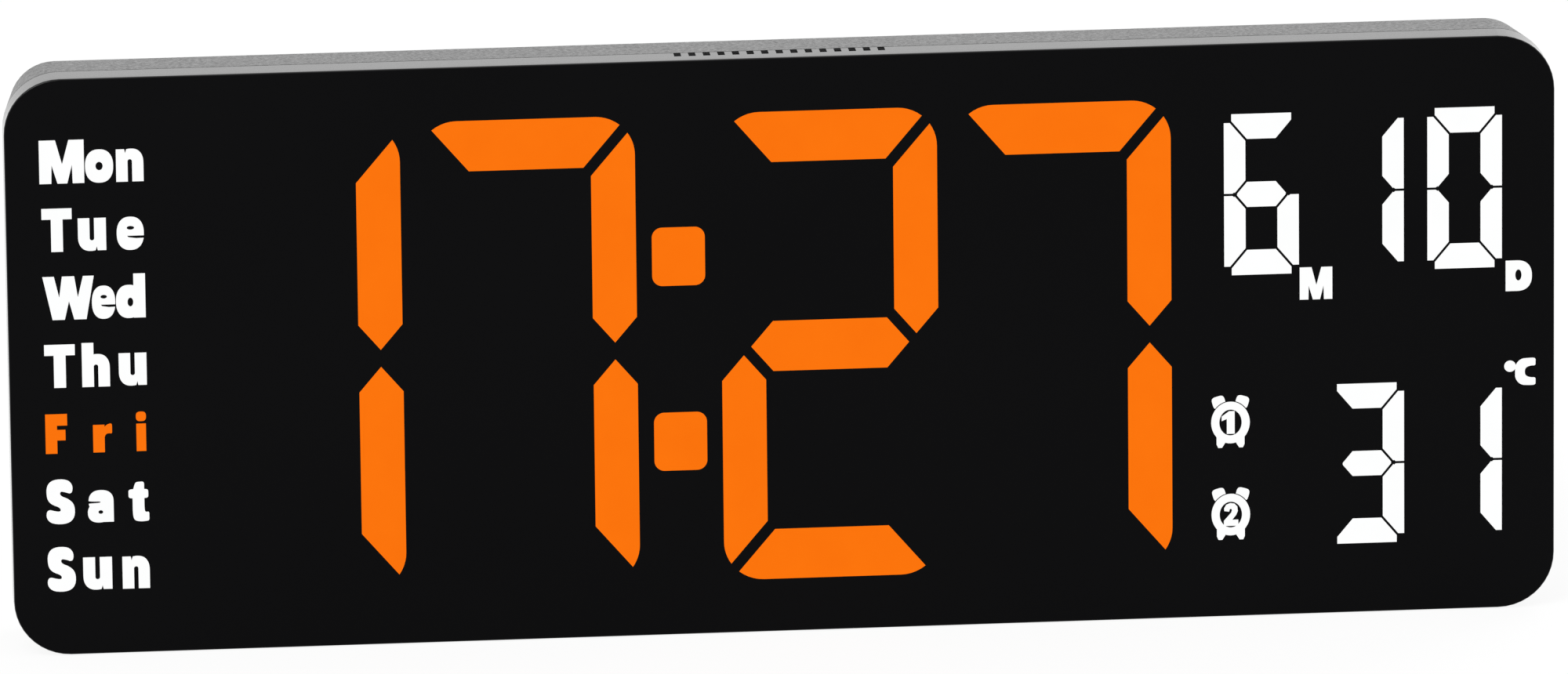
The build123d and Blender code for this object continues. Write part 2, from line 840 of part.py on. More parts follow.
# Rear cover: a tapered tub with screw pillars, pockets for the stands, the keys, the cell and the plug
taper = degrees(atan2(cover_inset, case_depth - parting_depth))
inner_inset = wall + cover_inset * (inner_depth - parting_depth) / (case_depth - parting_depth)
hanger_height = case_height / 2 - hanger_drop


with BuildPart() as rear_cover:
    with BuildSketch(facing(case_depth)):
        case_outline(cover_inset)
    extrude(amount=case_depth - parting_depth, taper=-taper)
    fillet(rear_cover.faces().sort_by(Axis.Y)[-1].edges(), back_edge_radius)
    with BuildSketch(facing(inner_depth)):
        case_outline(inner_inset)
    extrude(amount=inner_depth - parting_depth, taper=-taper, mode=Mode.SUBTRACT)
    with BuildSketch(facing(board_front)):
        case_outline(wall - lip_thickness - lip_fit)
    extrude(amount=lip_height, mode=Mode.SUBTRACT)
    with BuildSketch(facing(parting_depth + shadow_gap_width)):
        case_outline(-overrun)
        case_outline(shadow_gap_depth, mode=Mode.SUBTRACT)
    extrude(amount=shadow_gap_width, mode=Mode.SUBTRACT)

    # Material that stands on the inside of the back wall
    with BuildSketch(facing(inner_depth)):
        with Locations(*boss_places):
            Circle(pillar_radius)
    extrude(amount=inner_depth - board_back)
    with BuildSketch(facing(inner_depth)):
        pocket_outline(pocket_wall)
    extrude(amount=inner_depth - pocket_floor + pocket_wall)
    with BuildSketch(facing(inner_depth)):
        tray_outline(pocket_wall)
    extrude(amount=inner_depth - tray_inner)
    with BuildSketch(facing(inner_depth)):
        recess_outline(pocket_wall, cover_inset - case_height / 2)
    extrude(amount=inner_depth - recess_inner)
    with BuildSketch(facing(inner_depth)):
        with Locations(battery_place):
            Circle(cup_radius)
    extrude(amount=inner_depth - cup_end)

    # Screw holes, sunk deep into the pillars
    with BuildSketch(facing(case_depth)):
        with Locations(*boss_places):
            Circle(screw_recess_radius)
    extrude(amount=case_depth - screw_seat_depth, mode=Mode.SUBTRACT)
    with BuildSketch(facing(screw_seat_depth)):
        with Locations(*boss_places):
            Circle(screw_hole_radius)
    extrude(amount=screw_seat, mode=Mode.SUBTRACT)

    # Stand pockets and the blind holes for the trunnions
    with BuildSketch(facing(case_depth)):
        pocket_outline(0)
    extrude(amount=case_depth - pocket_floor, mode=Mode.SUBTRACT)
    for stand_middle in (-stand_x, stand_x):
        hole_reach = stand_width / 2 + trunnion_length + trunnion_play
        with BuildSketch(beside(stand_middle - hole_reach)):
            Circle(trunnion_radius + trunnion_play)
        extrude(amount=2 * hole_reach, mode=Mode.SUBTRACT)

    # Key tray and key holes
    with BuildSketch(facing(case_depth)):
        tray_outline(0)
    extrude(amount=tray_depth, mode=Mode.SUBTRACT)
    with BuildSketch(facing(tray_floor)):
        with Locations(*key_places.values()):
            Circle(key_radius + key_fit)
    extrude(amount=wall, mode=Mode.SUBTRACT)

    # Power recess, its channel to the lower edge and the hole for the socket
    with BuildSketch(facing(case_depth)):
        recess_outline(0, -case_height / 2 - overrun)
    extrude(amount=recess_depth, mode=Mode.SUBTRACT)
    with BuildSketch(facing(recess_floor)):
        with Locations(recess_place):
            Circle(socket_neck_radius + fit)
    extrude(amount=pocket_wall, mode=Mode.SUBTRACT)

    # Battery cup: the mouth, the bayonet groove, the well and two slots for the contact tails
    with BuildSketch(facing(case_depth)):
        with Locations(battery_place):
            Circle(cap_radius + cap_play)
    extrude(amount=case_depth - groove_end, mode=Mode.SUBTRACT)
    with BuildSketch(facing(case_depth)):
        with Locations(battery_place):
            Circle(groove_radius)
            Rectangle(
                2 * groove_radius, cap_lug_width + 2 * cap_play, rotation=-cap_turn, mode=Mode.INTERSECT
            )
    extrude(amount=case_depth - groove_end, mode=Mode.SUBTRACT)
    with BuildSketch(facing(cap_lug_top + cap_play)):
        with Locations(battery_place):
            Circle(groove_radius)
    extrude(amount=cap_lug_top + cap_play - groove_end, mode=Mode.SUBTRACT)
    with BuildSketch(facing(groove_end)):
        with Locations(battery_place):
            Circle(well_radius)
    extrude(amount=groove_end - well_floor, mode=Mode.SUBTRACT)
    with BuildSketch(facing(groove_end)):
        with Locations((leaf_x, battery_height), (blade_x, battery_height)):
            Rectangle(contact_thickness + 2 * contact_play, contact_width + 2 * contact_play)
    extrude(amount=groove_end - cup_end, mode=Mode.SUBTRACT)

    # Keyhole hangers and the sound holes over the buzzer
    with BuildSketch(facing(case_depth)):
        with Locations((0, hanger_height)):
            with GridLocations(hanger_pitch, 0, 2, 1):
                Circle(hanger_entry_radius)
        with Locations((0, hanger_height + hanger_travel / 2)):
            with GridLocations(hanger_pitch, 0, 2, 1):
                SlotCenterToCenter(hanger_travel, 2 * hanger_neck_radius, rotation=90)
        with Locations(buzzer_place):
            Circle(sound_hole_radius)
            with PolarLocations(sound_ring_radius, sound_hole_count):
                Circle(sound_hole_radius)
    extrude(amount=wall, mode=Mode.SUBTRACT)
keep(rear_cover, "rear_cover")

# Housing screws: long self-tapping screws from the back, through the board, into the frame
with BuildPart() as housing_screws:
    with BuildSketch(facing(screw_seat_depth)):
        with Locations(*boss_places):
            Circle(screw_radius)
    extrude(amount=screw_seat_depth - panel_thickness - boss_floor - fit)
    with BuildSketch(facing(screw_seat_depth + screw_head_height)):
        with Locations(*boss_places):
            Circle(screw_head_radius)
    extrude(amount=screw_head_height)
keep(housing_screws, "housing_screws")
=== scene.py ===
import math

import bmesh
import bpy
from mathutils import Matrix, Vector, geometry


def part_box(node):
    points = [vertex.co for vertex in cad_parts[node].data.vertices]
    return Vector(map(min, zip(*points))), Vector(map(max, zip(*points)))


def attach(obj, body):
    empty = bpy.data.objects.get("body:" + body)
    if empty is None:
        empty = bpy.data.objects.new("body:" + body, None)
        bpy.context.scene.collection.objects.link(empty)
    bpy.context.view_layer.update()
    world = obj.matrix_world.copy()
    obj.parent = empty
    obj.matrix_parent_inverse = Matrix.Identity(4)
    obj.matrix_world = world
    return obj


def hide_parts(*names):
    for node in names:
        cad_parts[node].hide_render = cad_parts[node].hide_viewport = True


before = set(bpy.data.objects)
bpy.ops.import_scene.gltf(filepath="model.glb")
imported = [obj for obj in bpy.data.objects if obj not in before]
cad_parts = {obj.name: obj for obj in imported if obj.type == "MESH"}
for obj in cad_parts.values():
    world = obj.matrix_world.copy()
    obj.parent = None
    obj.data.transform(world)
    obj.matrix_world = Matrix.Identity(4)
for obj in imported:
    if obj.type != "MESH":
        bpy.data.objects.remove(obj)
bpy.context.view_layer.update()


# Light box: the block of open cells that keeps each segment's light to itself.
# Moulded in white ABS, so that the cell walls throw the light forward.
# It lies against the back of the panel, and the circuit board is screwed to it.
MM = 0.001


def linear(code):
    """Turn an sRGB hex colour into linear red, green, blue and alpha."""
    shares = [int(code[start:start + 2], 16) / 255 for start in (0, 2, 4)]
    return (*[s / 12.92 if s <= 0.04045 else ((s + 0.055) / 1.055) ** 2.4 for s in shares], 1.0)


def add_node(tree, kind, settings, sockets):
    """Add a node, apply its settings, and set or link its input sockets by name or number."""
    node = tree.nodes.new(kind)
    for setting, value in settings.items():
        setattr(node, setting, value)
    for socket, value in sockets.items():
        if isinstance(value, bpy.types.NodeSocket):
            tree.links.new(value, node.inputs[socket])
        else:
            node.inputs[socket].default_value = value
    return node


def finish(name, tones, drift_mm, grain_mm, relief_mm, rough, values, glow=None):
    """Make a material whose colour drifts between two tones, with a grain in its gloss and relief.

    The drift and the grain are the sizes of their patches, rough is the range of the roughness, values are
    other sockets of the shader, and glow is the pair of tones in which a lit piece shines."""
    material = bpy.data.materials.new(name)
    material.use_nodes = True
    tree = material.node_tree
    tree.nodes.clear()
    place = add_node(tree, "ShaderNodeTexCoord", {}, {}).outputs["Object"]
    drift = add_node(tree, "ShaderNodeTexNoise", {},
                     {"Vector": place, "Scale": 1 / (drift_mm * MM), "Detail": 3.0}).outputs[0]
    grain = add_node(tree, "ShaderNodeTexNoise", {},
                     {"Vector": place, "Scale": 1 / (grain_mm * MM), "Detail": 2.0}).outputs[0]
    colour = add_node(tree, "ShaderNodeMix", {"data_type": "RGBA"},
                      {0: drift, 6: linear(tones[0]), 7: linear(tones[1])}).outputs[2]
    gloss = add_node(tree, "ShaderNodeMapRange", {},
                     {"Value": grain, "To Min": rough[0], "To Max": rough[1]}).outputs[0]
    relief = add_node(tree, "ShaderNodeBump", {}, {"Height": grain, "Distance": relief_mm * MM}).outputs[0]
    sockets = {"Base Color": colour, "Roughness": gloss, "Normal": relief, **values}
    if glow:
        sockets["Emission Color"] = add_node(tree, "ShaderNodeMix", {"data_type": "RGBA"},
                                             {0: drift, 6: linear(glow[0]), 7: linear(glow[1])}).outputs[2]
    shader = add_node(tree, "ShaderNodeBsdfPrincipled", {}, sockets)
    add_node(tree, "ShaderNodeOutputMaterial", {}, {"Surface": shader.outputs[0]})
    return material


def dress(material, *names):
    """Give CAD nodes their finish through their material slots."""
    for name in names:
        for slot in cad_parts[name].material_slots:
            slot.material = material


# White ABS, straight from a matt mould: even, slightly warm, with a soft sheen on the cell walls.
reflector_abs = finish("white_abs_matt_moulded", ("EDEBE4", "F6F5F1"), 14.0, 0.7, 0.02, (0.46, 0.56),
                       {"IOR": 1.53})
dress(reflector_abs, "light_box")


# Circuit board: glass-fibre laminate under green solder mask, which carries every LED.
# The copper tracks lie under the mask and show as paler lines in a glossy green.
# Four small screws hold it to the light box.
TRACK_PITCH_MM = 2.54
TRACK_LENGTH_MM = 20.32
TRACK_WIDTH_MM = 0.5
solder_mask = finish("solder_mask_on_laminate", ("0B4427", "0F5431"), 22.0, 0.8, 0.01, (0.28, 0.36),
                     {"IOR": 1.55})
board_tree = solder_mask.node_tree
board_place = add_node(board_tree, "ShaderNodeTexCoord", {}, {})
board_axes = add_node(board_tree, "ShaderNodeSeparateXYZ", {}, {0: board_place.outputs["Object"]})
# The bricks are laid out in the board's own plane, so that their joints stand for tracks.
board_plane = add_node(board_tree, "ShaderNodeCombineXYZ", {},
                       {0: board_axes.outputs[0], 1: board_axes.outputs[2]})
tracks = add_node(board_tree, "ShaderNodeTexBrick", {},
                  {"Vector": board_plane.outputs[0], "Color1": linear("0D4B2B"), "Color2": linear("0F5431"),
                   "Mortar": linear("2E7A4C"), "Scale": 1 / MM, "Mortar Size": TRACK_WIDTH_MM / 2,
                   "Mortar Smooth": 0.1, "Brick Width": TRACK_LENGTH_MM, "Row Height": TRACK_PITCH_MM})
board_shader = board_tree.nodes["Principled BSDF"]
board_tree.links.new(tracks.outputs["Color"], board_shader.inputs["Base Color"])
dress(solder_mask, "led_board")


# LEDs: small surface-mounted packages, one or two behind each segment and one behind each word and sign.
# A white moulded cup filled with a yellowish phosphor gel, soldered to the front of the board.
led_package = finish("led_cup_with_phosphor", ("F0E9B8", "F7F3D8"), 1.2, 0.4, 0.01, (0.3, 0.4), {"IOR": 1.5})
dress(led_package, "led_chips")


# Chips, buzzer and thermistor: bodies of black epoxy, soldered to the back of the board.
# Moulded with a mineral filler and slightly sandy, so they are matt with a fine speckle.
chip_epoxy = finish("black_epoxy_moulded", ("17181A", "222326"), 3.0, 0.4, 0.02, (0.5, 0.62), {"IOR": 1.55})
dress(chip_epoxy, "controller_chip", "led_driver_chips", "buzzer", "thermistor")


# Smoothing capacitors: aluminium cans in a heat-shrunk dark blue sleeve.
# The sleeve is thin and tight, so it shines softly and shows small ripples.
capacitor_sleeve = finish("shrunk_polymer_sleeve", ("14213F", "1B2B52"), 4.0, 1.2, 0.03, (0.26, 0.38),
                          {"IOR": 1.54})
dress(capacitor_sleeve, "smoothing_capacitors")


# Clock crystal and coin cell: drawn cans of nickel-plated steel.
# Bright, with the faint clouding of the plating and fine handling marks.
nickel_can = finish("nickel_plated_steel", ("B9B6AE", "CFCCC4"), 5.0, 0.6, 0.008, (0.22, 0.34),
                    {"Metallic": 1.0})
dress(nickel_can, "clock_crystal", "coin_cell")


# Battery contacts and the socket's pin: spring strip, stamped and bent, and a turned pin, all plated.
# The rolling and turning under the plating leave them a little duller than the cell.
plated_spring = finish("nickel_plated_spring_brass", ("C9C0A2", "DAD3BC"), 3.0, 0.5, 0.01, (0.28, 0.4),
                       {"Metallic": 1.0})
dress(plated_spring, "battery_contact_negative", "battery_contact_positive", "power_socket_pin")


# Switches and power socket: black glass-filled nylon mouldings, soldered to the back of the board.
# Each switch base holds a small plunger, on which a key rests, and the socket looks out of the recess.
# The fibres dull the skin of the moulding, so it is a plain black with little shine.
switch_nylon = finish("glass_filled_nylon", ("151515", "1E1E1F"), 2.5, 0.5, 0.02, (0.42, 0.55), {"IOR": 1.53})
dress(switch_nylon, "key_switches", "alarm_switch_plunger", "down_switch_plunger", "up_switch_plunger",
      "set_switch_plunger", "power_socket")


# Front panel: one sheet of smoked acrylic over the whole front, with a polished face and edge.
# Its anti-glare coat holds back most of the reflection, so it looks deep black edge to edge.
# The dark segments are windows of the same smoked sheet, so nothing of them shows while they are off.
smoked_acrylic = finish("smoked_acrylic_coated", ("050506", "080809"), 60.0, 1.5, 0.001, (0.14, 0.2),
                        {"IOR": 1.49, "Specular IOR Level": 0.04})
# The anti-glare coat is on the face alone, so the cut and polished edge keeps its full gloss.
# The turn is the part of the normal that looks forward, where the edge begins and where it is full.
EDGE_TURN = (-0.9, -0.5)
panel_tree = smoked_acrylic.node_tree
panel_facing = add_node(panel_tree, "ShaderNodeTexCoord", {}, {})
panel_axes = add_node(panel_tree, "ShaderNodeSeparateXYZ", {}, {0: panel_facing.outputs["Normal"]})
edge_gloss = add_node(panel_tree, "ShaderNodeMapRange", {},
                      {"Value": panel_axes.outputs[1], "From Min": EDGE_TURN[0], "From Max": EDGE_TURN[1]})
panel_shader = panel_tree.nodes["Principled BSDF"]
panel_tree.links.new(edge_gloss.outputs[0], panel_shader.inputs["Coat Weight"])
dress(smoked_acrylic, "front_panel", "unlit_segments")


# Time segments and colon: windows with an orange diffuser film, lit from behind.
# The light is even over a segment, with the faint unevenness of one LED next to the other.
orange_diffuser = finish("orange_diffuser_lit", ("1A0A02", "220E03"), 9.0, 1.5, 0.001, (0.2, 0.26),
                         {"IOR": 1.49, "Specular IOR Level": 0.04, "Emission Strength": 1.0},
                         glow=("F86F00", "FC7502"))
dress(orange_diffuser, "hour_tens_segments", "hour_units_segments", "colon_dots", "minute_tens_segments",
      "minute_units_segments")


# Date and temperature segments: the same windows with a clear white diffuser film.
# They shine a neutral white.
white_diffuser = finish("white_diffuser_lit", ("151515", "1C1C1C"), 9.0, 1.5, 0.001, (0.2, 0.26),
                        {"IOR": 1.49, "Specular IOR Level": 0.04, "Emission Strength": 1.0},
                        glow=("FAFBFB", "FFFFFF"))
dress(white_diffuser, "month_segments", "day_tens_segments", "day_units_segments",
      "temperature_tens_segments", "temperature_units_segments")


# Weekday words: seven cut-out words in the panel's mask film, one above the other at the left.
# Each has its own LED, and only today's is orange. They are films, so they are almost flat.
# The letters are heavy and upright, with small openings, and each word fills the same width.
FACE_MM = -14.0
FILM_SUNK_MM = 0.02
FILM_PROUD_MM = 0.04
FILM_MM = (FACE_MM + FILM_SUNK_MM, FACE_MM - FILM_PROUD_MM)
SAME_POINT_MM = 0.0001
INSIDE_ONLY = 1
ROUND_STEPS = 48
CORNER_CUTS = 2
CUT_SHARES = (0.75, 0.25)
SMALL_MM = 7.5
BULGE = 0.85
WORD_LOW_MM = 14.2
WORD_PITCH_MM = 14.86
WORD_SHRINK = 0.955
TODAY_ROW = 4
TODAY_SHRINK = 0.875
TODAY_LIFT_MM = 0.45


def oval(x, z, half_x, half_z, bulge=1.0):
    """Points of an oval from its lowest point on, squarer where the bulge is under one."""
    points = []
    for step in range(ROUND_STEPS):
        turn = 2 * math.pi * step / ROUND_STEPS - math.pi / 2
        points.append((x + half_x * math.copysign(abs(math.cos(turn)) ** bulge, math.cos(turn)),
                       z + half_z * math.copysign(abs(math.sin(turn)) ** bulge, math.sin(turn))))
    return points


def bar(left, low, right, high):
    """Corners of an upright rectangle."""
    return [(left, low), (right, low), (right, high), (left, high)]


def rounded(outline):
    """Round an outline's corners by cutting them off again and again."""
    for _ in range(CORNER_CUTS):
        outline = [(share * a[0] + (1 - share) * b[0], share * a[1] + (1 - share) * b[1])
                   for a, b in zip(outline, outline[1:] + outline[:1]) for share in CUT_SHARES]
    return outline


def film(bm, adds, cuts, depths):
    """Add a closed flat piece between two depths: the joined outlines of adds, without those of cuts."""
    points = []
    rings = []
    for outline in adds + cuts:
        area = sum(a[0] * b[1] - b[0] * a[1] for a, b in zip(outline, outline[1:] + outline[:1]))
        rings.append(list(range(len(points), len(points) + len(outline))))
        points += [Vector(point) for point in (outline if area > 0 else reversed(outline))]
    places, _, cells, _, _, origins = geometry.delaunay_2d_cdt(points, [], rings, INSIDE_ONLY, SAME_POINT_MM)
    kept = [list(cell) for cell, origin in zip(cells, origins) if origin and max(origin) < len(adds)]
    layers = [[bm.verts.new((place.x, depth, place.y)) for place in places] for depth in depths]
    uses = {}
    for cell in kept:
        for layer in layers:
            bm.faces.new([layer[corner] for corner in cell])
        for edge in zip(cell, cell[1:] + cell[:1]):
            uses[frozenset(edge)] = uses.get(frozenset(edge), 0) + 1
    for start, end in [edge for edge, count in uses.items() if count == 1]:
        bm.faces.new((layers[0][start], layers[0][end], layers[1][end], layers[1][start]))
    bmesh.ops.delete(bm, geom=[vert for vert in bm.verts if not vert.link_faces], context="VERTS")


# Each letter has its width, the outlines that it is joined from, and those that are cut out of it.
# All are in millimetres, from the letter's lower left corner.
ARCH = [bar(3.45, 0, 5.9, 4.2), oval(3.25, 4.2, 2.65, 3.3, BULGE)]
ARCH_SLOT = [bar(2.5, -0.2, 3.45, 4.6), oval(2.975, 4.6, 0.475, 0.5)]
ARCH_NOTCH = [(1.75, 7.7), (2.0, 6.5), (2.35, 7.7)]
LETTERS = {
    "M": (9.6, [[(0, 0), (2.55, 0), (2.65, 4.2), (3.85, 0), (5.95, 0), (7.0, 4.2), (7.1, 0), (9.6, 0),
                 (9.6, 9.9), (6.35, 9.9), (4.9, 4.4), (3.5, 9.9), (0, 9.9)]], []),
    "T": (6.4, [bar(0, 7.4, 6.4, 9.9), bar(1.95, 0, 4.45, 9)], []),
    "W": (10.9, [[(2, 0), (4.6, 0), (5.55, 4.2), (6.6, 0), (9.2, 0), (10.9, 9.9), (8.6, 9.9), (7.45, 5.1),
                  (6.75, 9.9), (4.15, 9.9), (3.5, 5.1), (2.45, 9.9), (0, 9.9)]], []),
    "F": (4.7, [bar(0, 0, 2.5, 9.9), bar(1, 7, 4.7, 9.9), bar(1, 3.3, 4.3, 5.95)], []),
    "S": (6.0, [rounded([(5.5, 6.6), (5.8, 8.6), (4.6, 10.1), (1.5, 10.1), (0.1, 8.7), (0.1, 5.8), (1.0, 4.4),
                         (3.0, 3.6), (3.1, 2.7), (2.2, 2.7), (0.2, 3.3), (-0.1, 1.2), (1.3, -0.2),
                         (4.6, -0.2), (6.1, 1.3), (6.1, 4.1), (4.9, 5.5), (3.0, 6.3), (3.0, 7.3),
                         (3.9, 7.2)])], []),
    "o": (5.9, [oval(2.95, 3.75, 2.95, 3.8, BULGE)], [oval(2.95, 3.75, 0.75, 0.95)]),
    "n": (5.9, [bar(0, 0, 2.5, 7.4), *ARCH], [*ARCH_SLOT, ARCH_NOTCH]),
    "h": (5.9, [bar(0, 0, 2.5, 10.1), *ARCH], ARCH_SLOT),
    "e": (5.8, [oval(2.9, 3.75, 2.9, 3.8, BULGE)],
          [oval(2.95, 5.0, 0.8, 0.42), [(2.2, 3.2), (2.5, 2.85), (4.2, 2.6), (5.9, 2.65), (5.9, 3.2)]]),
    "d": (6.25, [oval(2.75, 3.75, 2.75, 3.8, BULGE), bar(3.75, 0, 6.25, 10.1)], [oval(3.05, 3.6, 0.6, 1.0)]),
    "r": (4.0, [bar(0, 0, 2.45, 6.9),
                rounded([(1.6, 3.9), (2.4, 3.5), (2.7, 4.6), (3.5, 4.75), (4.05, 4.6), (4.05, 5.8),
                         (4.05, 7.2), (3.3, 7.1), (2.6, 6.6), (2.2, 5.9), (1.6, 5.6)])], []),
    "i": (2.1, [bar(0, 0, 2.1, 6.9), oval(1.05, 8.7, 1.1, 1.2, 0.7)], []),
    "a": (5.6, [bar(3, 0, 5.5, 4.75), oval(2.85, 4.75, 2.65, 2.6, BULGE), oval(2.4, 2.15, 2.4, 2.25, BULGE)],
          [oval(2.75, 2.3, 0.5, 0.42),
           rounded([(-0.4, 4.25), (1.2, 4.35), (2.7, 4.4), (2.75, 4.75), (1.2, 4.75), (-0.4, 4.95)])]),
    "t": (4.3, [rounded([(0.85, 4.0), (0.85, 1.4), (1.2, 0.1), (2.5, -0.15), (3.6, -0.1), (4.35, 0.05),
                         (4.35, 1.0), (4.35, 2.1), (3.6, 1.95), (3.35, 2.5), (3.35, 5.0), (3.35, 7.6),
                         (3.35, 9.0), (2.4, 9.0), (1.5, 8.9), (1.15, 7.8), (0.85, 6.6)]),
                oval(2.1, 6.25, 2.1, 1.05, 0.35)], []),
}
# The u is the n upside down.
N_WIDTH_MM, *N_OUTLINES = LETTERS["n"]
LETTERS["u"] = (N_WIDTH_MM, *[[[(N_WIDTH_MM - x, SMALL_MM - z) for x, z in outline] for outline in outlines]
                              for outlines in N_OUTLINES])
# Each word is set letter by letter, with the place of its left edge and its width in millimetres.
WORDS = ((("M", -157.65, 9.5), ("o", -147.95, 5.95), ("n", -141.4, 5.8)),
         (("T", -157.4, 6.4), ("u", -149.75, 5.95), ("e", -141.55, 5.75)),
         (("W", -157.5, 10.9), ("e", -147.1, 4.95), ("d", -142.0, 6.25)),
         (("T", -157.45, 6.5), ("h", -149.5, 5.9), ("u", -141.7, 5.9)),
         (("F", -157.55, 4.65), ("r", -147.45, 4.0), ("i", -138.25, 2.05)),
         (("S", -157.7, 5.95), ("a", -148.9, 5.6), ("t", -140.2, 4.3)),
         (("S", -157.75, 5.9), ("u", -150.15, 6.15), ("n", -141.8, 5.8)))


def placed(outlines, x, z, wide=1.0, high=1.0):
    """Scale outlines and move them to a place on a face."""
    return [[(x + wide * across, z + high * up) for across, up in outline] for outline in outlines]


SHARP_ANGLE = math.radians(35)
WELD_MM = 0.0005


def piece(name, bm, material, body):
    """Turn a bmesh in millimetres into a piece that rides on a body."""
    bmesh.ops.remove_doubles(bm, verts=bm.verts, dist=WELD_MM)
    bmesh.ops.recalc_face_normals(bm, faces=bm.faces)
    mesh = bpy.data.meshes.new(name)
    bm.to_mesh(mesh)
    bm.free()
    mesh.transform(Matrix.Scale(MM, 4))
    mesh.shade_smooth()
    mesh.set_sharp_from_angle(angle=SHARP_ANGLE)
    mesh.materials.append(material)
    finished = bpy.data.objects.new(name, mesh)
    bpy.context.scene.collection.objects.link(finished)
    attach(finished, body)
    return finished


for row, word in enumerate(WORDS):
    lit = row == TODAY_ROW
    low = WORD_LOW_MM + (len(WORDS) - 1 - row) * WORD_PITCH_MM + (TODAY_LIFT_MM if lit else 0)
    adds = []
    cuts = []
    for letter, left, width in word:
        full_width, more, less = LETTERS[letter]
        setting = (left, low, width / full_width, TODAY_SHRINK if lit else WORD_SHRINK)
        adds += placed(more, *setting)
        cuts += placed(less, *setting)
    word_film = bmesh.new()
    film(word_film, adds, cuts, FILM_MM)
    piece("weekday_word_" + str(row + 1), word_film, orange_diffuser if lit else white_diffuser, "case")


# Unit signs: M for the month, D for the day, and the degree dot with C for the temperature.
# Small cut-outs in the same mask film, lit white.
LETTERS["D"] = (5.6, [[(0, 0), *oval(2.4, 3.45, 3.2, 3.45, BULGE)[:ROUND_STEPS // 2 + 1], (0, 6.9)]],
                [oval(2.72, 3.6, 0.66, 1.25)])
LETTERS["C"] = (4.45, [rounded([(4.45, 0.0), (4.45, 1.0), (4.45, 1.95), (3.4, 1.9), (2.3, 2.4), (2.1, 3.45),
                                (2.3, 4.5), (3.4, 5.0), (4.45, 4.95), (4.45, 5.95), (4.45, 6.95),
                                (3.0, 6.95), (1.2, 6.8), (0.05, 5.2), (0.05, 3.45), (0.05, 1.7), (1.2, 0.1),
                                (3.0, -0.05)])], [])
DEGREE_DOT = oval(155.45, 53.4, 1.25, 1.25)
# Each sign has its letter, left edge, width, foot, share of the letter's height, and any dots beside it.
UNIT_SIGNS = (("month_sign", "M", 110.3, 7.0, 69.5, 0.717, []),
              ("day_sign", "D", 154.5, 5.65, 69.95, 0.975, []),
              ("degree_sign", "C", 156.5, 4.45, 49.15, 0.86, [DEGREE_DOT]))
for name, letter, left, width, low, high, dots in UNIT_SIGNS:
    full_width, more, less = LETTERS[letter]
    setting = (left, low, width / full_width, high)
    sign = bmesh.new()
    film(sign, placed(more, *setting) + dots, placed(less, *setting), FILM_MM)
    piece(name, sign, white_diffuser, "case")


# Alarm signs: two small twin-bell clocks, numbered 1 and 2, that say which alarm is set.
# They are cut-outs in the mask film as well: a ring on two feet, two bells with a hairline under them,
# and the number inside.
ALARM_X_MM = 95.35
ALARM_HEIGHTS_MM = (42.95, 22.6)
# Half the width and the height of the ring, of the dial cut out of it, and of the edge that the bells end at.
RING_MM = (4.15, 4.6)
DIAL_MM = (2.4, 2.85)
HAIRLINE_MM = (4.35, 4.8)
# A bell's middle, from the ring's, and half its width and height before it leans.
BELL_PLACE_MM = (2.5, 4.5)
BELL_MM = (1.4, 1.35)
BELL_BULGE = 0.55
BELL_LEAN = math.radians(16)
FOOT = [(0.9, -3.9), (3.0, -2.5), (3.0, -4.8), (2.65, -5.55), (1.85, -5.55), (1.3, -4.7)]
NUMBERS = ([(-0.8, -2.5), (0.9, -2.5), (0.9, 2.5), (-0.3, 2.5), (-1.9, 1.35), (-1.9, 0.35), (-0.8, 0.8)],
           [(-1.5, -2.5), (1.6, -2.5), (1.6, -1.15), (0.3, -1.15), (1.15, -0.1), (1.5, 0.75), (1.4, 1.75),
            (0.8, 2.4), (-0.1, 2.55), (-1.0, 2.2), (-1.45, 1.4), (-1.4, 0.8), (-0.35, 0.65), (-0.25, 1.15),
            (0.05, 1.3), (0.25, 1.0), (0.1, 0.45), (-1.5, -1.35)])
for number, (height, numeral) in enumerate(zip(ALARM_HEIGHTS_MM, NUMBERS), start=1):
    ring = [oval(0, 0, *RING_MM)]
    bells = []
    for side in (-1, 1):
        lean = -side * BELL_LEAN
        bells.append([(side * BELL_PLACE_MM[0] + x * math.cos(lean) - z * math.sin(lean),
                       BELL_PLACE_MM[1] + x * math.sin(lean) + z * math.cos(lean))
                      for x, z in oval(0, 0, *BELL_MM, BELL_BULGE)])
        ring.append([(side * x, z) for x, z in FOOT])
    sign = bmesh.new()
    for adds, cuts in ((ring, [oval(0, 0, *DIAL_MM)]), (bells, [oval(0, 0, *HAIRLINE_MM)]), ([numeral], [])):
        film(sign, placed(adds, ALARM_X_MM, height), placed(cuts, ALARM_X_MM, height), FILM_MM)
    piece("alarm_sign_" + str(number), sign, white_diffuser, "case")


# Front frame: the straight-sided ring of black ABS behind the panel, with vent notches on top.
# Moulded in a polished tool and lacquered, so it is the glossiest part of the case behind the panel.
frame_abs = finish("black_abs_polished_lacquered", ("0B0B0C", "111112"), 30.0, 1.2, 0.003, (0.2, 0.28),
                   {"IOR": 1.54, "Coat Weight": 0.6, "Coat Roughness": 0.1})
dress(frame_abs, "front_frame")


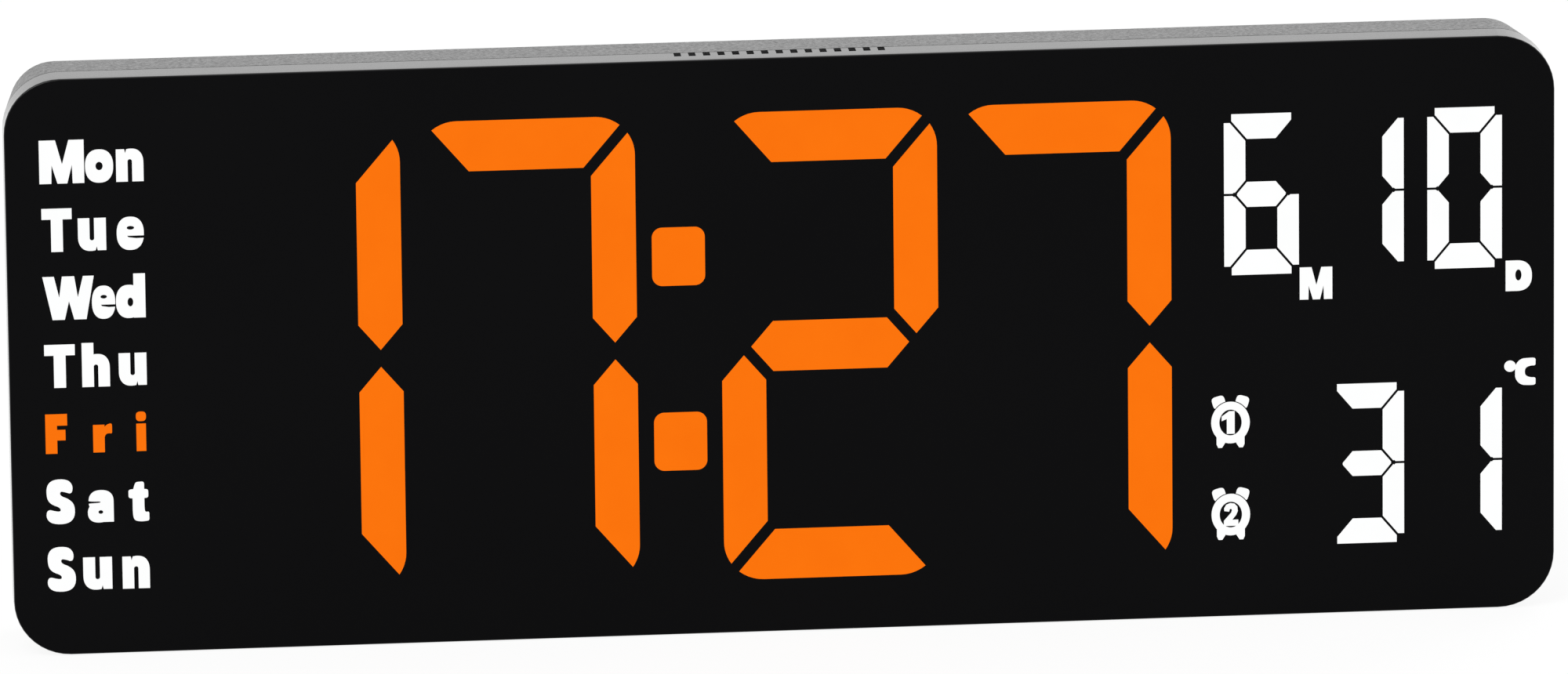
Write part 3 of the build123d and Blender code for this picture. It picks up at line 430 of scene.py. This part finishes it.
# Rear cover, battery cap and stands: black ABS from a spark-eroded mould.
# The eroded skin is a fine pebble under a thin soft-touch lacquer, so the case is a soft, even black.
# The real pebble is about 0.1 mm wide and is drawn at 0.8 mm, so that it shows.
PEBBLE_MM = 0.8
PEBBLE_SPREAD = (0.35, 0.65)
LACQUER_WEIGHTS = (0.6, 0.15)
cover_abs = finish("black_abs_spark_texture", ("0E0E0F", "171718"), 40.0, PEBBLE_MM, 0.09, (0.42, 0.54),
                   {"IOR": 1.54, "Coat Roughness": 0.25})
# The lacquer runs off the tops of the pebble, so it shines a little more in the valleys.
cover_tree = cover_abs.node_tree
cover_place = add_node(cover_tree, "ShaderNodeTexCoord", {}, {})
pebble = add_node(cover_tree, "ShaderNodeTexNoise", {},
                  {"Vector": cover_place.outputs["Object"], "Scale": 1 / (PEBBLE_MM * MM), "Detail": 2.0})
lacquer = add_node(cover_tree, "ShaderNodeMapRange", {},
                   {"Value": pebble.outputs[0], "From Min": PEBBLE_SPREAD[0], "From Max": PEBBLE_SPREAD[1],
                    "To Min": LACQUER_WEIGHTS[0], "To Max": LACQUER_WEIGHTS[1]})
cover_tree.links.new(lacquer.outputs[0], cover_tree.nodes["Principled BSDF"].inputs["Coat Weight"])
dress(cover_abs, "rear_cover", "battery_cap", "left_stand", "right_stand")


# Grip ribs: four low moulded ribs across the tip of each stand, where a fingertip pulls it out.
# They are part of the stand's moulding and end below the plane of the back.
# The section is given as height over the stand's face and place along it, and the ends as shares.
STAND_FACE_MM = 13.7
STANDS_MM = (("left", -95.0), ("right", 95.0))
RIB_HEIGHTS_MM = (49.2, 50.9, 52.6, 54.3)
RIB_HALF_LENGTH_MM = 5.2
RIB_SECTION = ((-0.05, -0.5), (0.1, -0.5), (0.27, -0.2), (0.27, 0.2), (0.1, 0.5), (-0.05, 0.5))
RIB_ENDS = ((-1.0, 0.2), (-0.92, 1.0), (0.92, 1.0), (1.0, 0.2))


def stack(bm, rings):
    """Join rings of as many points with faces, and close the first and the last ring."""
    layers = [[bm.verts.new(point) for point in ring] for ring in rings]
    for lower, upper in zip(layers, layers[1:]):
        for step in range(len(lower)):
            following = (step + 1) % len(lower)
            bm.faces.new((lower[step], lower[following], upper[following], upper[step]))
    bm.faces.new(layers[0])
    bm.faces.new(layers[-1])


for side, stand_x in STANDS_MM:
    ribs = bmesh.new()
    for height in RIB_HEIGHTS_MM:
        stack(ribs, [[(stand_x + along * RIB_HALF_LENGTH_MM,
                       STAND_FACE_MM + min(out, out * share),
                       height + up) for out, up in RIB_SECTION] for along, share in RIB_ENDS])
    piece(side + "_stand_ribs", ribs, cover_abs, side + "_leg")


# Battery cap marks: a raised and printed pointer on the cap, and two printed marks on the cover beside it.
# The pointer stands at the full dot while the cap is locked, and at the ring when it is turned to open.
CAP_MM = (56.0, 76.0)
CAP_FACE_MM = 13.8
BACK_MM = 14.0
POINTER = [(-1.1, 9.4), (1.1, 9.4), (0.0, 11.6)]
POINTER_SUNK_MM = 0.05
POINTER_PROUD_MM = 0.12
MARK_REACH_MM = 17.2
DOT_MM = 0.9
OPEN_RING_MM = 1.0
OPEN_HOLE_MM = 0.6
PRINT_SUNK_MM = 0.02
PRINT_PROUD_MM = 0.03
OPEN_TURN = math.radians(45)
# A pad-printed pale grey ink: matt, and thin enough to take on the skin below.
print_paint = finish("pale_grey_print", ("B9BABC", "C6C7C8"), 2.0, 0.4, 0.004, (0.45, 0.55), {"IOR": 1.5})
pointer = bmesh.new()
film(pointer, placed([POINTER], *CAP_MM), [],
     (CAP_FACE_MM - POINTER_SUNK_MM, CAP_FACE_MM + POINTER_PROUD_MM))
piece("battery_cap_pointer", pointer, print_paint, "cap")
open_place = (MARK_REACH_MM * math.sin(OPEN_TURN), MARK_REACH_MM * math.cos(OPEN_TURN))
locked_dot = oval(0, MARK_REACH_MM, DOT_MM, DOT_MM)
open_ring = oval(*open_place, OPEN_RING_MM, OPEN_RING_MM)
open_hole = oval(*open_place, OPEN_HOLE_MM, OPEN_HOLE_MM)
marks = bmesh.new()
film(marks, placed([locked_dot, open_ring], *CAP_MM), placed([open_hole], *CAP_MM),
     (BACK_MM - PRINT_SUNK_MM, BACK_MM + PRINT_PROUD_MM))
piece("battery_cap_marks", marks, print_paint, "case")


# Keys: four round satin push keys of dark grey ABS, in a shallow tray on the back.
# Each rests on its switch's plunger, and carries a raised printed sign: bell, minus, plus, ring.
KEY_FACE_MM = 13.8
SIGN_SUNK_MM = 0.05
SIGN_PROUD_MM = 0.15
SIGN_MM = (KEY_FACE_MM - SIGN_SUNK_MM, KEY_FACE_MM + SIGN_PROUD_MM)
KEY_HEIGHT_MM = 86.0
SIGN_REACH_MM = 1.9
STROKE_HALF_MM = 0.32
SIGN_HOLE_MM = SIGN_REACH_MM - 2 * STROKE_HALF_MM
CLAPPER_MM = (0.55, 0.45)
CLAPPER_DROP_MM = 1.65
# A satin moulding in a lighter grey than the cover, so that the keys stand out in the tray.
key_abs = finish("grey_abs_satin", ("37383A", "434447"), 6.0, 0.6, 0.015, (0.4, 0.5), {"IOR": 1.54})
dress(key_abs, "alarm_key", "down_key", "up_key", "set_key")
# One side of the bell from its top down, and the same mirrored for the other side.
KEY_BELL_SIDE = ((0.35, 1.85), (0.5, 1.5), (1.1, 1.1), (1.35, 0.3), (1.45, -0.6), (2.0, -1.2), (2.0, -1.5))
KEY_BELL_TOP = (0.0, 1.95)
KEY_BELL = [*reversed(KEY_BELL_SIDE), KEY_BELL_TOP, *[(-x, z) for x, z in KEY_BELL_SIDE]]
CLAPPER = oval(0, -CLAPPER_DROP_MM, *CLAPPER_MM)
LEVEL_STROKE = bar(-SIGN_REACH_MM, -STROKE_HALF_MM, SIGN_REACH_MM, STROKE_HALF_MM)
UPRIGHT_STROKE = bar(-STROKE_HALF_MM, -SIGN_REACH_MM, STROKE_HALF_MM, SIGN_REACH_MM)
SIGN_RING = oval(0, 0, SIGN_REACH_MM, SIGN_REACH_MM)
SIGN_HOLE = oval(0, 0, SIGN_HOLE_MM, SIGN_HOLE_MM)
KEY_SIGNS = (("alarm", -24.0, [KEY_BELL, CLAPPER], []),
             ("down", -8.0, [LEVEL_STROKE], []),
             ("up", 8.0, [LEVEL_STROKE, UPRIGHT_STROKE], []),
             ("set", 24.0, [SIGN_RING], [SIGN_HOLE]))
for key, key_x, adds, cuts in KEY_SIGNS:
    sign = bmesh.new()
    film(sign, placed(adds, key_x, KEY_HEIGHT_MM), placed(cuts, key_x, KEY_HEIGHT_MM), SIGN_MM)
    piece(key + "_key_sign", sign, print_paint, key + "_button")


# Screws: pan-head self-tapping screws of zinc-plated steel, six from the back and four on the board.
# The six are deep in their holes: a rolled thread in the frame's posts, and a cross recess for the driver.
# The plating is bright and a little cloudy, so the heads glint at the bottom of the holes.
SCREWS_MM = ((-154.0, 117.0), (154.0, 117.0), (-154.0, 9.0), (154.0, 9.0), (-22.4, 113.1), (-22.4, 12.9))
HEAD_RADIUS_MM = 2.6
HEAD_HEIGHT_MM = 1.8
CREST_MM = 1.4
CORE_MM = 1.08
THREAD_PITCH_MM = 1.2
RINGS_A_TURN = 6
POINT_MM = 2.2
POINT_SHARE = 0.25
THREAD_STEEPNESS = 4
TURN_STEPS = 24
RECESS_REACH_MM = 1.5
RECESS_HALF_MM = 0.4
NARROWEST = 0.001
# The head and its recess as shares of radius and height, from the seat up and from the recess's rim down.
HEAD_PROFILE = ((0.97, 0.0), (1.0, 0.12), (1.0, 0.45), (0.93, 0.75), (0.8, 0.92), (0.66, 1.0))
RECESS_PROFILE = ((1.0, 1.0), (0.92, 0.6), (0.7, 0.3))
zinc_steel = finish("zinc_plated_steel", ("A8ABAE", "C2C5C8"), 2.0, 0.5, 0.006, (0.26, 0.4),
                    {"Metallic": 1.0})
dress(zinc_steel, "board_screws")
tip_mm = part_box("housing_screws")[0][1] / MM
top_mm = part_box("housing_screws")[1][1] / MM
seat_mm = top_mm - HEAD_HEIGHT_MM


def thread_radius(turn, depth):
    """Radius of the threaded shank at a turn and a depth, drawn in towards the point."""
    rise = (depth / THREAD_PITCH_MM + turn / (2 * math.pi)) % 1
    point = min(1.0, POINT_SHARE + (1 - POINT_SHARE) * (depth - tip_mm) / POINT_MM)
    return point * (CORE_MM + (CREST_MM - CORE_MM) * max(0.0, 1 - THREAD_STEEPNESS * abs(rise - 0.5)))


def recess_radius(turn):
    """Reach of the cross recess at a turn."""
    wide, narrow = sorted((abs(math.cos(turn)), abs(math.sin(turn))), reverse=True)
    return min(RECESS_REACH_MM / wide, RECESS_HALF_MM / max(narrow, NARROWEST))


turns = [2 * math.pi * step / TURN_STEPS for step in range(TURN_STEPS)]
ring_count = round((seat_mm - tip_mm) / THREAD_PITCH_MM * RINGS_A_TURN)
screws = bmesh.new()
for screw_x, screw_z in SCREWS_MM:
    radii = []
    for ring in range(ring_count + 1):
        depth = tip_mm + (seat_mm - tip_mm) * ring / ring_count
        radii.append((depth, [thread_radius(turn, depth) for turn in turns]))
    for wide, up in HEAD_PROFILE:
        radii.append((seat_mm + up * HEAD_HEIGHT_MM, [wide * HEAD_RADIUS_MM] * TURN_STEPS))
    for wide, up in RECESS_PROFILE:
        radii.append((seat_mm + up * HEAD_HEIGHT_MM, [wide * recess_radius(turn) for turn in turns]))
    stack(screws, [[(screw_x + radius * math.cos(turn), depth, screw_z + radius * math.sin(turn))
                    for turn, radius in zip(turns, ring)] for depth, ring in radii])
screw_set = piece("housing_screw_set", screws, zinc_steel, "case")
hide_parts("housing_screws")


# Floor: a wide, matt white sheet under the clock, as in a small product studio.
# It is white to the camera and in reflections, and it keeps the clock's soft shadow.
# It lies a hair below the clock's foot, so that the two never fall in one plane.
FLOOR_HALF_M = 12.0
FLOOR_M = -0.0002
FLOOR_WHITE_SHARE = 0.9


def seen_directly(tree):
    """One for camera, glossy and transmission rays, and nought for the rest."""
    path = add_node(tree, "ShaderNodeLightPath", {}, {})
    first = add_node(tree, "ShaderNodeMath", {"operation": "MAXIMUM"},
                     {0: path.outputs["Is Camera Ray"], 1: path.outputs["Is Glossy Ray"]})
    return add_node(tree, "ShaderNodeMath", {"operation": "MAXIMUM"},
                    {0: first.outputs[0], 1: path.outputs["Is Transmission Ray"]})


floor_mesh = bpy.data.meshes.new("studio_floor")
floor_mesh.from_pydata([(x * FLOOR_HALF_M, y * FLOOR_HALF_M, FLOOR_M)
                        for x, y in ((-1, -1), (1, -1), (1, 1), (-1, 1))], [], [(0, 1, 2, 3)])
floor = bpy.data.objects.new("studio_floor", floor_mesh)
bpy.context.scene.collection.objects.link(floor)
floor_paint = bpy.data.materials.new("matt_white_floor")
floor_paint.use_nodes = True
floor_tree = floor_paint.node_tree
floor_tree.nodes.clear()
floor_share = add_node(floor_tree, "ShaderNodeMath", {"operation": "MULTIPLY"},
                       {0: seen_directly(floor_tree).outputs[0], 1: FLOOR_WHITE_SHARE})
floor_matt = add_node(floor_tree, "ShaderNodeBsdfDiffuse", {}, {"Color": linear("F4F4F4")})
floor_white = add_node(floor_tree, "ShaderNodeEmission", {}, {"Strength": 1.0})
floor_mix = add_node(floor_tree, "ShaderNodeMixShader", {},
                     {0: floor_share.outputs[0], 1: floor_matt.outputs[0], 2: floor_white.outputs[0]})
add_node(floor_tree, "ShaderNodeOutputMaterial", {}, {"Surface": floor_mix.outputs[0]})
floor_mesh.materials.append(floor_paint)


# Room light: an even white room, which lights the clock softly from all sides.
# It is plain white to the camera, in gloss and through clear pieces, and a little lower on matt surfaces.
AMBIENT_STRENGTH = 0.75
world = bpy.data.worlds.new("white_studio")
bpy.context.scene.world = world
world.use_nodes = True
world_tree = world.node_tree
world_tree.nodes.clear()
ambient = add_node(world_tree, "ShaderNodeBackground", {},
                   {"Color": linear("FFFFFF"), "Strength": AMBIENT_STRENGTH})
white = add_node(world_tree, "ShaderNodeBackground", {}, {"Color": linear("FFFFFF"), "Strength": 1.0})
world_mix = add_node(world_tree, "ShaderNodeMixShader", {},
                     {0: seen_directly(world_tree).outputs[0], 1: ambient.outputs[0], 2: white.outputs[0]})
add_node(world_tree, "ShaderNodeOutputWorld", {}, {"Surface": world_mix.outputs[0]})


# Softboxes: two square lamps above the clock, one in front at the left and one behind at the right.
# They shape the case and the keys at a plain level, at which colours come out as they are written.
SOFTBOX_SIDE_M = 1.6
SOFTBOXES = (("front_softbox", (-1.2, -1.6, 2.2), 45.0), ("rear_softbox", (1.6, 2.0, 2.4), 35.0))
for name, place, watts in SOFTBOXES:
    lamp = bpy.data.lights.new(name, "AREA")
    lamp.size = SOFTBOX_SIDE_M
    lamp.energy = watts
    softbox = bpy.data.objects.new(name, lamp)
    softbox.location = place
    softbox.rotation_euler = (-Vector(place)).to_track_quat("-Z", "Y").to_euler()
    bpy.context.scene.collection.objects.link(softbox)

bpy.context.scene.view_settings.view_transform = "Standard"


# Camera: a long lens, a little to the left of the clock and above it.
# Its turn, tilt and distance are those at which the case's corners fall where the photograph has them.
IMAGE_WIDTH_PX = 2000
FOCAL_PX = 21231
SENSOR_MM = 36.0
YAW = math.radians(-4.83)
PITCH = math.radians(14.38)
ROLL = math.radians(-0.61)
DISTANCE_M = 3.54
FAR_M = 100.0
TARGET_M = Vector((-0.0001, -0.014, 0.0649))

back = Vector((math.sin(YAW) * math.cos(PITCH), -math.cos(YAW) * math.cos(PITCH), math.sin(PITCH)))
level_right = Vector((math.cos(YAW), math.sin(YAW), 0))
level_up = back.cross(level_right)
right = math.cos(ROLL) * level_right + math.sin(ROLL) * level_up
up = math.cos(ROLL) * level_up - math.sin(ROLL) * level_right
lens = bpy.data.cameras.new("camera")
lens.lens = FOCAL_PX * SENSOR_MM / IMAGE_WIDTH_PX
lens.sensor_width = SENSOR_MM
lens.clip_end = FAR_M
camera = bpy.data.objects.new("camera", lens)
camera.matrix_world = Matrix.Translation(TARGET_M + back * DISTANCE_M) @ Matrix(
    (right, up, back)).transposed().to_4x4()
bpy.context.scene.collection.objects.link(camera)
bpy.context.scene.camera = camera
